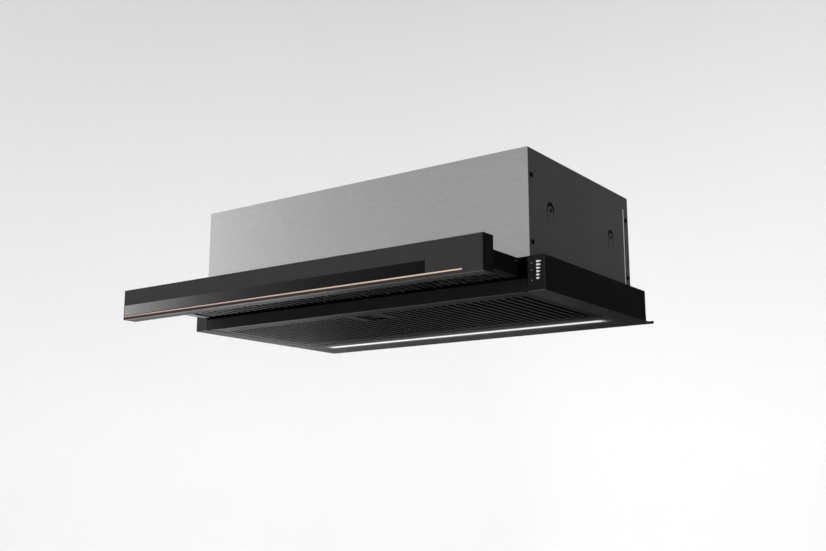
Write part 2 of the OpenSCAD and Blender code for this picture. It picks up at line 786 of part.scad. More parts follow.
// Run capacitor lying in its clip under the roof
module capacitor() color(zinc_c) translate([cap_x, inner_end_y - rear_fold_d - cap_r, 0]) {
    translate([-cap_l / 2, 0, scroll_top - cap_r - sheet_t]) rotate([0, 90, 0])
        cylinder(r = cap_r, h = cap_l);
    slab(cap_r / 2 * [-1, 1], cap_r * [-1, 1], [scroll_top - sheet_t, scroll_top]);
    slab(cap_r / 2 * [-1, 1], cap_r * [-1, 1], [scroll_top - cap_r - sheet_t, scroll_top - sheet_t]);
}

module electronics_box() color(plastic_c) difference() {
    slab(off(box_x, [0, box_w]), off(box_y, [0, box_d]), [scroll_top - box_h, scroll_top]);
    slab(off(box_x, [box_wall, box_w - box_wall]), off(box_y, [box_wall, box_d - box_wall]),
        [scroll_top - box_h - overrun, scroll_top - box_wall]);
    translate([gland_x, inner_end_y - gland_in, scroll_top - box_wall - overrun])
        cylinder(r = gland_r + 3 * sheet_t, h = box_wall + 2 * overrun);
}

module electronics_lid() color(plastic_c) {
    rim_in = box_wall + seat_gap;
    slab(off(box_x, [0, box_w]), off(box_y, [0, box_d]), off(scroll_top - box_h, [-box_wall, 0]));
    difference() {
        slab(off(box_x, [rim_in, box_w - rim_in]), off(box_y, [rim_in, box_d - rim_in]),
            off(scroll_top - box_h, [0, box_wall]));
        slab(off(box_x, [2 * box_wall, box_w - 2 * box_wall]),
            off(box_y, [2 * box_wall, box_d - 2 * box_wall]),
            off(scroll_top - box_h, [0, box_wall + overrun]));
    }
}

// Start and end along and across the board and height in the box, of the transformer, three
// relays and the terminal block
part_shares = [[0.06, 0.3, 0.12, 0.5, 0.5], [0.36, 0.46, 0.12, 0.42, 0.35],
    [0.5, 0.6, 0.12, 0.42, 0.35], [0.64, 0.74, 0.12, 0.42, 0.35], [0.06, 0.5, 0.76, 0.94, 0.25]];

// Power board with its transformer, relays and terminal block, on the lid
module power_board() color(board_c) {
    z = scroll_top - box_h + box_wall;
    x = box_x + board_in;
    y = box_y + board_in;
    w = box_w - 2 * board_in;
    d = box_d - 2 * board_in;
    slab(off(x, [0, w]), off(y, [0, d]), off(z, [0, board_t]));
    for (s = part_shares) slab(off(x, w * [s[0], s[1]]), off(y, d * [s[2], s[3]]),
        off(z + board_t, box_h * [0, s[4]]));
}

// Light

module light_place() translate([0, rear_y - light_in, 0]) children();

module led_diffuser() color(white_c) light_place() {
    w = light_w - 2 * filter_rise;
    l = light_l - 2 * filter_rise;
    translate([0, 0, sheet_t / 8]) linear_extrude(sheet_t * 7 / 8)
        rotate(90) translate([0, -l / 2]) slot_shape(w, l);
    translate([0, 0, sheet_t]) linear_extrude(sheet_t)
        rotate(90) translate([0, -light_l / 2 - 2 * sheet_t])
            slot_shape(light_w + 2 * sheet_t, light_l + 4 * sheet_t);
}

// Channel that holds the diffuser and cools the diode strip
module led_profile() color(zinc_c) light_place() {
    w = light_w / 2 + 2 * sheet_t;
    l = light_l / 2 + 4 * sheet_t;
    h = light_w + 2 * sheet_t;
    difference() {
        slab(l * [-1, 1], w * [-1, 1], [2 * sheet_t, h]);
        slab((l + overrun) * [-1, 1], (w - sheet_t) * [-1, 1], [2 * sheet_t - overrun, h - sheet_t]);
    }
    both_sides() slab([l, l + sheet_t], (w + 2 * sheet_t) * [-1, 1], [sheet_t, h]);
}

chip_pitch = 24;
chip_t = 0.8;

module led_board() color(board_c) light_place() {
    z = light_w + sheet_t;
    w = light_w / 2;
    count = floor(light_l / chip_pitch / 2);
    slab(light_l / 2 * [-1, 1], w * [-1, 1], off(z, [-board_t, 0]));
    for (i = [-count:count])
        slab(off(i * chip_pitch, w / 2 * [-1, 1]), w / 2 * [-1, 1], off(z - board_t, [-chip_t, 0]));
}

// Runners

// Angle pieces that carry the fixed members from the beams, over the tray's sides
module runner_brackets() color(zinc_c) both_sides() {
    y = [runner_y, runner_y + runner_l];
    slab([bracket_x, bracket_x + sheet_t], y, [runner_z, frame_h]);
    slab([bracket_x + sheet_t, beam_x], y, [frame_h - sheet_t, frame_h]);
}

// A folded member seen along Y: a web on its left and two flanges reaching right
module channel(x, w, h, y) {
    z = runner_z + (runner_h - h) / 2;
    slab([x, x + sheet_t], y, [z, z + h]);
    slab([x + sheet_t, x + w], y, [z, z + sheet_t]);
    slab([x + sheet_t, x + w], y, [z + h - sheet_t, z + h]);
}

module runner_outers() color(zinc_c) both_sides()
    channel(runner_x, runner_t - 2 * sheet_t, runner_h, [runner_y, runner_y + runner_l]);

strip_t = 0.5;

// How far the middle members stand out at rest
middle_y = runner_y - visor_out / 2;

module runner_middles() color(zinc_c) both_sides()
    channel(runner_x + 2.5 * sheet_t, runner_t - 4.1 * sheet_t, middle_h, [middle_y, middle_y + runner_l]);

// Ball strips between the outer and the middle members
module runner_balls() color(steel_c) both_sides() for (side = [-1, 1]) {
    x = runner_x + 2.5 * sheet_t + (runner_t - 4.1 * sheet_t) / 2;
    z = runner_z + runner_h / 2 + side * (middle_h + race_gap) / 2;
    y0 = runner_y + seat_gap;
    step = (runner_l - visor_out / 2) / balls;
    slab(off(x, ball_r * 2 * [-1, 1]), [y0, y0 + step * (balls - 0.2)],
        off(z - side * (race_gap - strip_t) / 2, strip_t / 2 * [-1, 1]));
    for (i = [0:balls - 1]) translate([x, y0 + step * (i + 0.4), z]) sphere(r = ball_r);
}

module runner_inners() color(zinc_c) both_sides() mirror([1, 0, 0])
    channel(sheet_t - tray_x, runner_t / 2, inner_h, off(tray_y + 2 * sheet_t, [0, runner_l]));

// Visor

// Outline of the front bar seen from its end, rounded at the front
module visor_shape() {
    translate([visor_edge_r, 0]) square([visor_t - sheet_t - visor_edge_r, visor_h]);
    translate([0, visor_edge_r]) square([visor_t / 2, visor_h - 2 * visor_edge_r]);
    for (z = [visor_edge_r, visor_h - visor_edge_r]) translate([visor_edge_r, z]) circle(r = visor_edge_r);
}

visor_edge_r = 1;

// Hollow front bar, open towards the back, with shallow seats for the inlay and the trim
module visor_front() color(front_c) {
    y = tray_y - visor_t;
    x = half_w - sheet_t;
    difference() {
        translate([-x, y, visor_z]) rotate([90, 0, 90]) linear_extrude(2 * x) visor_shape();
        slab([-x - overrun, x + overrun], [y + visor_wall, tray_y],
            [visor_z + visor_wall, visor_z + visor_h - visor_wall]);
        slab([-x - overrun, half_w - inlay_end], [y - overrun, y + inlay_t],
            off(visor_z + inlay_z, [0, inlay_h]));
        slab([-x - overrun, half_w - trim_end], [y - overrun, y + trim_t],
            off(visor_z + trim_z, [0, trim_h]));
    }
}

inlay_t = 1.6;
trim_t = 1.2;

module visor_inlay() color(gloss_c) slab([sheet_t - half_w, half_w - inlay_end],
    off(tray_y - visor_t, [0, inlay_t]), off(visor_z + inlay_z, [0, inlay_h]));

module copper_trim() color(copper_c) slab([sheet_t - half_w, half_w - trim_end],
    off(tray_y - visor_t, [0, trim_t]), off(visor_z + trim_z, [0, trim_h]));

module visor_back_plate() color(front_c)
    slab((half_w - sheet_t) * [-1, 1], [tray_y - sheet_t, tray_y], [visor_z, visor_z + visor_h]);

groove_shares = [0.18, 0.8];

// Moulded ends with upright grooves, plugged into the hollow bar
module visor_end_caps() color(plastic_c) both_sides() {
    groove = 0.4 * sheet_t;
    difference() {
        slab([half_w - sheet_t, half_w], [tray_y - visor_t, tray_y], [visor_z, visor_z + visor_h]);
        for (share = groove_shares)
            slab([half_w - groove, half_w + overrun], off(tray_y - visor_t * (1 - share), [0, groove]),
                [0, visor_h + 2 * visor_z]);
    }
    slab([half_w - sheet_t - visor_wall, half_w - sheet_t],
        [tray_y - visor_t + visor_wall + seat_gap, tray_y - sheet_t - seat_gap],
        [visor_z + visor_wall + seat_gap, visor_z + visor_h - visor_wall - seat_gap]);
}

// Upright slot for the end stop and long hole for the runner's rivet in a side of the tray
stop_in = 48;
stop_w = 1.4;
stop_h = 9;
stop_drop = 8;
rivet_in = 96;
rivet_w = 2.4;
rivet_l = 18;
rivet_drop = 4.4;

// Folded tray: sides, a lower flange all round, a front flange and a low rear wall
module visor_tray() color(under_c) {
    flange = tray_x - visor_grille_x + visor_border;
    both_sides() {
        difference() {
            slab([tray_x - sheet_t, tray_x], [tray_y, tray_end_y], [tray_z, tray_top]);
            slab([tray_x - sheet_t - overrun, tray_x + overrun], off(tray_y + stop_in, [0, stop_w]),
                off(tray_top - stop_drop, [-stop_h, 0]));
            translate([tray_x - sheet_t - overrun, tray_y + rivet_in, tray_top - rivet_drop])
                rotate([90, 0, 90]) rotate(-90) linear_extrude(sheet_t + 2 * overrun)
                    slot_shape(rivet_w, rivet_l);
        }
        slab([tray_x - flange, tray_x - sheet_t], [tray_y, tray_end_y], off(tray_z, [0, sheet_t]));
    }
    x = tray_x - flange;
    border = visor_border + sheet_t;
    low_z = runner_z - seat_gap;
    for (y = [tray_y, tray_end_y - border])
        slab([-x, x], off(y, [0, border]), off(tray_z, [0, sheet_t]));
    for (y = [tray_y, tray_end_y - sheet_t])
        slab((tray_x - sheet_t) * [-1, 1], off(y, [0, sheet_t]), [tray_z + sheet_t, low_z]);
    slab([-x, x], off(tray_y, [0, sheet_t]), [low_z, tray_top]);
}

visor_grille_x = tray_x - 9 * sheet_t;

// Slots of one row across the given half width, as a flat shape
module slot_row(half, l) {
    count = floor((half - slot_w / 2) / slot_pitch);
    for (i = [-count:count]) translate([i * slot_pitch, 0]) slot_shape(slot_w, l);
}

// Slotted plate in the tray, with two rows of slots
module visor_grille() color(under_c) {
    y0 = tray_y + sheet_t + seat_gap;
    d = tray_d - 2 * sheet_t - 2 * seat_gap;
    border = visor_border + sheet_t;
    row = (d - 3 * border) / 2;
    difference() {
        slab(visor_grille_x * [-1, 1], off(y0, [0, d]), off(tray_z + sheet_t, [0, sheet_t * 0.8]));
        for (i = [0, 1]) translate([0, y0 + border + i * (row + border), tray_z + sheet_t - overrun])
            linear_extrude(sheet_t + 2 * overrun) slot_row(visor_grille_x - visor_border, row);
    }
}

// Rubber stops on the back of the visor front
module visor_bumpers() color(plastic_c) both_sides()
    translate([half_w - cheek_w / 2, tray_y, visor_z + bumper_r + visor_wall]) rotate([-90, 0, 0])
        cylinder(r = bumper_r, h = bumper_t);

bumper_r = 3;
bumper_t = 0.7;

// Filter

mesh_z = filter_rise + face_t;
filter_top = filter_rise + filter_h;
latch_z = mesh_z + seat_gap;
plate_t = 1.2 * sheet_t;
cup_h = 5.6;
cup_wall = 1;
guide_w = 3;
cup_x_shares = [-0.97, 0.36];
cup_y_shares = [0.32, 0.84];

// Slotted face of the filter, with a plain island and a window for the latch
module filter_face() color(under_c) {
    row = filter_d - slot_front - slot_back;
    difference() {
        slab([-filter_x, filter_x], [filter_y, filter_end_y], off(filter_rise, [0, face_t]));
        difference() {
            translate([0, filter_y + slot_front, filter_rise - overrun])
                linear_extrude(face_t + 2 * overrun) slot_row(filter_x - slot_side, row);
            slab(latch_island_x * [-1, 1], [filter_y, latch_y + latch_l + 2 * face_t],
                off(filter_rise - 2 * overrun, [0, face_t + 4 * overrun]));
        }
        slab(latch_w / 2 * [-1, 1], off(latch_y, [0, latch_l]),
            off(filter_rise, [-overrun, face_t + overrun]));
    }
}

latch_island_x = slot_pitch * 2.5;

// Folded rim round the mesh, with two tongues that hook over the rear deck
module filter_rim() color(zinc_c) {
    lip = 6;
    difference() {
        slab([-filter_x, filter_x], [filter_y, filter_end_y], [mesh_z, filter_top]);
        slab((filter_x - lip) * [-1, 1], [filter_y + lip, filter_end_y - lip],
            [mesh_z - overrun, filter_top + overrun]);
        slab((filter_x - sheet_t) * [-1, 1], [filter_y + sheet_t, filter_end_y - sheet_t],
            [mesh_z - overrun, filter_top - sheet_t]);
        slab((latch_nose_w / 2 + seat_gap) * [-1, 1], off(filter_y, [-overrun, 2 * lip]),
            [mesh_z - overrun, latch_z + plate_t + seat_gap]);
    }
    both_sides() slab(off(tongue_in, tongue_w / 2 * [-1, 1]), [filter_end_y, deck_y + tongue_l],
        [sheet_t + tongue_lift, 2 * sheet_t + tongue_lift]);
}

latch_nose_w = 14;
tongue_in = 160;
tongue_w = 24;
tongue_l = 7;
tongue_lift = 0.6;

// Pack of aluminium mesh between face and rim, cut away round the latch
module filter_mesh() color(zinc_c) difference() {
    slab((filter_x - sheet_t - seat_gap) * [-1, 1],
        [filter_y + sheet_t + seat_gap, filter_end_y - sheet_t - seat_gap],
        [mesh_z, filter_top - sheet_t]);
    slab((latch_w / 2 + 2 * guide_w + seat_gap) * [-1, 1], [filter_y, latch_y + latch_l + 3 * guide_w],
        [mesh_z - overrun, filter_top + overrun]);
}

// Sliding latch: a plate over the window with a finger cup, and a nose at the front
module filter_latch() color(plastic_c) {
    cup_x = latch_w / 2 * cup_x_shares;
    cup_y = off(latch_y, latch_l * cup_y_shares);
    plate_x = latch_w / 2 + guide_w - seat_gap;
    top_z = latch_z + cup_h;
    difference() {
        union() {
            slab(plate_x * [-1, 1], [latch_y - guide_w, latch_y + latch_l + guide_w + latch_travel],
                off(latch_z, [0, plate_t]));
            slab(latch_nose_w / 2 * [-1, 1], [filter_y, latch_y], off(latch_z, [0, plate_t]));
            slab(cup_x + cup_wall * [-1, 1], cup_y + cup_wall * [-1, 1], [latch_z, top_z]);
        }
        slab(cup_x, cup_y, [latch_z - overrun, top_z - cup_wall]);
    }
}

// Rails that keep the latch on the face and let it slide
module latch_guides() color(zinc_c) both_sides() {
    x = latch_w / 2 + guide_w;
    y = [latch_y - guide_w, latch_y + latch_l + 2 * guide_w];
    slab([x, x + sheet_t], y, [mesh_z, latch_z + plate_t + seat_gap]);
    slab([x - guide_w / 2, x + sheet_t], y, off(latch_z + plate_t + seat_gap, [0, sheet_t]));
}

front_panel();
side_panel_left();
side_panel_right();
back_panel();
top_panel();
housing_screws();
cheek_left();
cheek_right();
front_rail();
rear_deck();
rear_wall();
rear_spacer();
control_fascia();
end_fascia();
key_board();
key_lamps();
key_1();
key_2();
key_3();
key_4();
key_5();
key_6();
outlet_collar();
flap_pin();
flap_front();
flap_back();
cable_gland();
scroll_left();
scroll_right();
inlet_rings();
impeller();
impeller_blades();
motor_shaft();
motor();
motor_bracket();
capacitor();
electronics_box();
electronics_lid();
power_board();
led_diffuser();
led_profile();
led_board();
runner_brackets();
runner_outers();
runner_middles();
runner_balls();
runner_inners();
visor_front();
visor_back_plate();
visor_end_caps();
visor_inlay();
copper_trim();
visor_tray();
visor_grille();
visor_bumpers();
filter_face();
filter_rim();
filter_mesh();
filter_latch();
latch_guides();
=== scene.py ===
"""Range hood with a sliding visor: finishes, small fittings, studio and camera around the frame."""

import json
import math

import bmesh
import bpy
from mathutils import Matrix, Vector


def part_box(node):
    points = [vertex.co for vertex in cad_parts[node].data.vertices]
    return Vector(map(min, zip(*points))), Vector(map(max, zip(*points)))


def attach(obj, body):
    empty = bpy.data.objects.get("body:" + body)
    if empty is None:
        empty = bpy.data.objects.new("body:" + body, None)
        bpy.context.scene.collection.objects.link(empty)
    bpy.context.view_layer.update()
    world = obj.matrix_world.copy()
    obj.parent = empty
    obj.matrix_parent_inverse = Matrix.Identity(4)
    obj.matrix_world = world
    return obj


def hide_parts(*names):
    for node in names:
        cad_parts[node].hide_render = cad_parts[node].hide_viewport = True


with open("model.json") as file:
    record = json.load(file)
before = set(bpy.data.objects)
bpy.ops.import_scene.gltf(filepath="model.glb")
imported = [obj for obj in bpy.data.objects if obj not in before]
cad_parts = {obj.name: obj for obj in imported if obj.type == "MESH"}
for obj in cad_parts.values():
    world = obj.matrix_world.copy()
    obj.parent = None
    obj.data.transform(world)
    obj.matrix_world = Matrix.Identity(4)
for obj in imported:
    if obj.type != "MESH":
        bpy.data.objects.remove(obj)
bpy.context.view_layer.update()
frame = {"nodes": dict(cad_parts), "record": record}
nodes = frame["nodes"]
scene = bpy.context.scene

MM = 0.001

# Camera, from a fit of the straight edges of the photograph
CAMERA_PLACE = (0.87026, -1.15394, -0.22783)
CAMERA_TURN = (101.5529, -0.0724, 35.7593)
CAMERA_LENS = 44.72
SENSOR_WIDTH = 36
CAMERA_CLIP = 0.05

camera_data = bpy.data.cameras.new("camera")
camera_data.lens = CAMERA_LENS
camera_data.sensor_width = SENSOR_WIDTH
camera_data.clip_start = CAMERA_CLIP
camera = bpy.data.objects.new("camera", camera_data)
camera.location = CAMERA_PLACE
camera.rotation_euler = [math.radians(a) for a in CAMERA_TURN]
scene.collection.objects.link(camera)
scene.camera = camera


# Node helpers

# Sockets of a mix node that blends colours
MIX_FIRST = 6
MIX_SECOND = 7
MIX_RESULT = 2


def grey(tone):
    return (tone, tone, tone)


def add_node(tree, kind, **settings):
    """A shader node with its plain settings."""
    made = tree.nodes.new(kind)
    for name, value in settings.items():
        setattr(made, name, value)
    return made


def feed(socket, value):
    """Links an input to another socket, or gives it a plain value."""
    if isinstance(value, bpy.types.NodeSocket):
        socket.id_data.links.new(value, socket)
    else:
        socket.default_value = value


def fill(made, **values):
    """Feeds a node's inputs by name, with _ for a blank."""
    for name, value in values.items():
        feed(made.inputs[name.replace("_", " ")], value)
    return made


def math_node(tree, operation, a, b=0.0):
    made = add_node(tree, "ShaderNodeMath", operation=operation)
    feed(made.inputs[0], a)
    feed(made.inputs[1], b)
    return made.outputs[0]


def span(tree, value, low, high):
    """A value from 0 to 1 brought to the range low to high."""
    return fill(add_node(tree, "ShaderNodeMapRange"), Value=value, To_Min=low, To_Max=high).outputs[0]


def blend_colours(tree, mask, first, second):
    """Colour that goes from first to second as a mask goes from 0 to 1."""
    made = add_node(tree, "ShaderNodeMix", data_type="RGBA")
    feed(made.inputs["Factor"], mask)
    for place, value in ((MIX_FIRST, first), (MIX_SECOND, second)):
        feed(made.inputs[place], (*value, 1) if isinstance(value, tuple) else value)
    return made.outputs[MIX_RESULT]


def new_group(name, inputs, outputs):
    """A shader node group; inputs give name and default, outputs give names."""
    group = bpy.data.node_groups.new(name, "ShaderNodeTree")
    for title, default in inputs:
        kind = "NodeSocketVector" if isinstance(default, tuple) else "NodeSocketFloat"
        group.interface.new_socket(title, in_out="INPUT", socket_type=kind).default_value = default
    for title in outputs:
        group.interface.new_socket(title, in_out="OUTPUT", socket_type="NodeSocketFloat")
    return group, group.nodes.new("NodeGroupInput"), group.nodes.new("NodeGroupOutput")


def noise(tree, place, scale, detail, roughness):
    made = add_node(tree, "ShaderNodeTexNoise")
    return fill(made, Vector=place, Scale=scale, Detail=detail, Roughness=roughness).outputs[0]


def object_place(tree):
    """Place on the part, in metres."""
    return add_node(tree, "ShaderNodeTexCoord").outputs["Object"]


def along(tree, axis):
    """Place on the part along an axis, in millimetres."""
    split = add_node(tree, "ShaderNodeSeparateXYZ")
    feed(split.inputs[0], object_place(tree))
    return math_node(tree, "DIVIDE", split.outputs[axis], MM)


def scale_of(tree, size):
    """Scale that gives a texture's features a size in millimetres."""
    return math_node(tree, "DIVIDE", 1 / MM, size)


def apart(tree, a, b):
    return math_node(tree, "ABSOLUTE", math_node(tree, "SUBTRACT", a, b))


def distance(tree, a, b):
    square = math_node(tree, "ADD", math_node(tree, "MULTIPLY", a, a), math_node(tree, "MULTIPLY", b, b))
    return math_node(tree, "SQRT", square)


def decay(tree, power):
    """A share that is 1 at a power of 0 and falls evenly by a factor e with each step of it."""
    return math_node(tree, "POWER", 1 / math.e, power)


# Effects shared by several finishes


def make_noise_group(name, title, size, output, detail, roughness):
    """Noise whose features have a size in millimetres, with a title for it and its usual value."""
    group, given, out = new_group(name, [(title, size)], [output])
    scale = scale_of(group, given.outputs[title])
    feed(out.inputs[output], noise(group, object_place(group), scale, detail, roughness))
    return group


def make_brush_group():
    """Lines that brushing leaves, long along the direction whose stretch is small."""
    group, given, out = new_group("brushed_lines", [("Stretch", (1.0, 1.0, 1.0))], ["Lines"])
    stretched = add_node(group, "ShaderNodeMapping")
    fill(stretched, Vector=object_place(group), Scale=given.outputs["Stretch"])
    feed(out.inputs["Lines"], noise(group, stretched.outputs[0], 1.0, 5.0, 0.7))
    return group


def make_spangle_group():
    """Crystal pattern of hot-dip galvanising."""
    group, given, out = new_group("zinc_spangle", [("Crystal", 7.0)], ["Crystal tone"])
    cells = add_node(group, "ShaderNodeTexVoronoi", feature="F1")
    fill(cells, Vector=object_place(group), Scale=scale_of(group, given.outputs["Crystal"]))
    split = add_node(group, "ShaderNodeSeparateColor")
    feed(split.inputs[0], cells.outputs["Color"])
    feed(out.inputs["Crystal tone"], split.outputs[0])
    return group


def make_fade_group():
    """A share that is 1 at a place along X and dies away evenly over a length."""
    values = [("Start", 0.0), ("Length", 100.0), ("Steepness", 3.0)]
    group, given, out = new_group("fade", values, ["Share"])
    offset = math_node(group, "SUBTRACT", along(group, "X"), given.outputs["Start"])
    power = math_node(group, "DIVIDE", offset, given.outputs["Length"])
    power = math_node(group, "MULTIPLY", power, given.outputs["Steepness"])
    feed(out.inputs["Share"], decay(group, power))
    return group


def make_ledge_group():
    """A mask that is 1 behind a place along Y and 0 in front of it."""
    group, given, out = new_group("ledge", [("Place", 0.0)], ["Behind"])
    feed(out.inputs["Behind"], math_node(group, "GREATER_THAN", along(group, "Y"), given.outputs["Place"]))
    return group


def make_underside_group():
    """A share that is 1 on faces that look straight down and 0 on upright ones."""
    group, _, out = new_group("underside", [], ["Share"])
    split = add_node(group, "ShaderNodeSeparateXYZ")
    feed(split.inputs[0], add_node(group, "ShaderNodeNewGeometry").outputs["Normal"])
    down = math_node(group, "MULTIPLY", split.outputs["Z"], -1.0)
    feed(out.inputs["Share"], math_node(group, "MAXIMUM", down, 0.0))
    return group


def make_tab_group():
    """Shadow line round the tops and the holes of two arched tabs in a side, in millimetres."""
    places = [("Middle", 0.0), ("Pitch", 100.0), ("Height", 100.0)]
    sizes = [("Radius", 8.0), ("Width", 1.1), ("Hole", 2.9)]
    group, given, out = new_group("tab_shadow", places + sizes, ["Shadow"])
    half_pitch = math_node(group, "DIVIDE", given.outputs["Pitch"], 2.0)
    offset = apart(group, along(group, "Y"), given.outputs["Middle"])
    across = math_node(group, "SUBTRACT", offset, half_pitch)
    rise = math_node(group, "SUBTRACT", along(group, "Z"), given.outputs["Height"])
    reach = distance(group, across, math_node(group, "MAXIMUM", rise, 0.0))
    off_line = apart(group, reach, given.outputs["Radius"])
    share = math_node(group, "ADD", math_node(group, "DIVIDE", rise, given.outputs["Radius"]), 1.0)
    width = math_node(group, "MULTIPLY", share, given.outputs["Width"])
    on_line = math_node(group, "LESS_THAN", off_line, width)
    in_hole = math_node(group, "LESS_THAN", distance(group, across, rise), given.outputs["Hole"])
    feed(out.inputs["Shadow"], math_node(group, "MAXIMUM", on_line, in_hole))
    return group


def make_glow_group():
    """Light that a long lamp along X throws on the sheet round it, in millimetres."""
    values = [("Middle", 0.0), ("Half length", 100.0), ("Half width", 5.0), ("Reach", 3.0)]
    group, given, out = new_group("strip_glow", values, ["Glow"])
    beside = apart(group, along(group, "Y"), given.outputs["Middle"])
    beyond = math_node(group, "ABSOLUTE", along(group, "X"))
    beyond = math_node(group, "SUBTRACT", beyond, given.outputs["Half length"])
    reach = distance(group, beside, math_node(group, "MAXIMUM", beyond, 0.0))
    gap = math_node(group, "MAXIMUM", math_node(group, "SUBTRACT", reach, given.outputs["Half width"]), 0.0)
    power = math_node(group, "DIVIDE", gap, given.outputs["Reach"])
    feed(out.inputs["Glow"], decay(group, power))
    return group


# Fine grain of a powder coat or a textured moulding
GRAIN = make_noise_group("fine_grain", "Size", 0.6, "Grain", 3.0, 0.6)
# Slow, soft unevenness that handling and cleaning leave on a surface
HANDLING = make_noise_group("handling", "Patch", 60.0, "Unevenness", 4.0, 0.55)
BRUSH = make_brush_group()
SPANGLE = make_spangle_group()
FADE = make_fade_group()
LEDGE = make_ledge_group()
UNDERSIDE = make_underside_group()
TABS = make_tab_group()
GLOW = make_glow_group()


# Finishes


class Finish:
    """A material under way: its tree, its Principled BSDF and links into it."""

    def __init__(self, name, colour, roughness, metallic=0.0, **fixed):
        self.material = bpy.data.materials.new(name)
        self.material.use_nodes = True
        self.tree = self.material.node_tree
        self.shader = self.tree.nodes["Principled BSDF"]
        self.colour = colour
        fill(self.shader, Base_Color=(*colour, 1), Roughness=roughness, Metallic=metallic, **fixed)

    def group(self, group, **values):
        """Outputs of a shared effect that gets the given values."""
        return fill(add_node(self.tree, "ShaderNodeGroup", node_tree=group), **values).outputs

    def fade(self, start, length, steepness):
        return self.group(FADE, Start=start, Length=length, Steepness=steepness)["Share"]

    def blend(self, mask, first, second):
        """Base colour that goes from first to second as a mask goes from 0 to 1."""
        fill(self.shader, Base_Color=blend_colours(self.tree, mask, first, second))

    def gloss(self, mask, first, second):
        """Specular level that goes from first to second as a mask goes from 0 to 1."""
        fill(self.shader, Specular_IOR_Level=span(self.tree, mask, first, second))

    def roughness(self, value, low, high):
        fill(self.shader, Roughness=span(self.tree, value, low, high))

    def shade(self, value, darkest):
        """Base colour that varies from darkest, a factor, to the full colour."""
        self.blend(value, tuple(c * darkest for c in self.colour), self.colour)

    def bump(self, height, depth):
        made = add_node(self.tree, "ShaderNodeBump")
        fill(made, Strength=1.0, Distance=depth * MM, Height=height)
        fill(self.shader, Normal=made.outputs[0])

    def grain(self, size, depth):
        self.bump(self.group(GRAIN, Size=size)["Grain"], depth)

    def powder_coat(self, low=0.42, high=0.52, size=0.5, depth=0.012):
        """Roughness of a powder coat, and its grain with size and depth in millimetres."""
        self.roughness(self.group(HANDLING)["Unevenness"], low, high)
        self.grain(size, depth)
        return self.material


def brushed(name, colour, stretch):
    finish = Finish(name, colour, 0.32, 1.0)
    lines = finish.group(BRUSH, Stretch=stretch)["Lines"]
    finish.roughness(lines, 0.26, 0.4)
    finish.shade(lines, 0.72)
    finish.bump(lines, 0.01)
    return finish.material


def painted(name, colour, gloss, *coat):
    finish = Finish(name, colour, 0.45, Specular_IOR_Level=gloss)
    finish.shade(finish.group(HANDLING, Patch=140.0)["Unevenness"], 0.86)
    return finish.powder_coat(*coat)


# Place along Y, in millimetres, that all of the part is in front of
BEHIND_ALL = 1000.0
DEEP_SHADE = grey(0.0005)


def coat_with_painted_light(name, upright, near, far, start, length, steepness, gloss, shade_y=BEHIND_ALL):
    """Powder coat with painted light: its underside goes from near to far along +X, with painted shade
    behind a place along Y.
    """
    finish = Finish(name, far, 0.42, Specular_IOR_Level=gloss)
    below = blend_colours(finish.tree, finish.fade(start, length, steepness), far, near)
    # Painted light and shade: faces that look down take the painted tone along +X, upright faces their own
    # tone
    lit = blend_colours(finish.tree, finish.group(UNDERSIDE)["Share"], upright, below)
    shaded = finish.group(LEDGE, Place=shade_y)["Behind"]
    finish.blend(shaded, lit, DEEP_SHADE)
    finish.gloss(shaded, gloss, 0.0)
    return finish.powder_coat(0.40, 0.48)


def rail_with_painted_light(name, near, far, start, length, steepness, gloss):
    """Powder coat with painted light: its tone goes from near to far along +X, over a length in millimetres.
    """
    finish = Finish(name, far, 0.45, Specular_IOR_Level=gloss)
    finish.blend(finish.fade(start, length, steepness), far, near)
    return finish.powder_coat()


def tabbed_side(name, colour, shadow, middle, pitch, height, gloss):
    """Painted side with a shadow line round its two arched tabs."""
    finish = Finish(name, colour, 0.45, Specular_IOR_Level=gloss)
    near = finish.group(TABS, Middle=middle, Pitch=pitch, Height=height)["Shadow"]
    finish.blend(near, colour, shadow)
    finish.gloss(near, gloss, 0.0)
    return finish.powder_coat()


def lit_sheet(name, colour, light, strength, middle, half_length, half_width, gloss):
    """Painted sheet that a strip of light let into it lights at its edge."""
    finish = Finish(name, colour, 0.48, Specular_IOR_Level=gloss)
    glow = finish.group(GLOW, Middle=middle, Half_length=half_length, Half_width=half_width)["Glow"]
    fill(finish.shader, Emission_Color=(*light, 1), Emission_Strength=span(finish.tree, glow, 0.0, strength))
    return finish.powder_coat(0.44, 0.52)


def bar_with_painted_shade(name, front, rear, ledge, gloss, shaded_gloss):
    """Painted bar whose rear part, behind a place along Y in millimetres, is painted darker and less glossy:
    painted shade behind its lit front edge.
    """
    finish = Finish(name, front, 0.4, Specular_IOR_Level=gloss)
    behind = finish.group(LEDGE, Place=ledge)["Behind"]
    finish.blend(behind, front, rear)
    finish.gloss(behind, gloss, shaded_gloss)
    return finish.powder_coat(0.36, 0.44, 0.4, 0.01)


def moulded(name, colour, low=0.42, high=0.55, gloss=0.4):
    finish = Finish(name, colour, 0.5, Specular_IOR_Level=gloss)
    finish.roughness(finish.group(HANDLING, Patch=30.0)["Unevenness"], low, high)
    finish.shade(finish.group(HANDLING, Patch=90.0)["Unevenness"], 0.9)
    finish.grain(0.35, 0.02)
    return finish.material


def spangled(finish, crystal, low, high, darkest):
    """Crystals of a zinc coat in a finish, as a tone and as a roughness."""
    tone = finish.group(SPANGLE, Crystal=crystal)["Crystal tone"]
    finish.roughness(tone, low, high)
    finish.shade(tone, darkest)
    finish.grain(0.8, 0.006)
    return finish.material


def dull_zinc(name, colour):
    """Weathered galvanised sheet, more matt than the bright coating."""
    return spangled(Finish(name, colour, 0.5, 0.2, Specular_IOR_Level=0.3), 6.0, 0.45, 0.6, 0.86)


def zinc_coated(name, colour, low=0.38, high=0.46, crystal=7.0):
    return spangled(Finish(name, colour, 0.4, 1.0), crystal, low, high, 0.82)


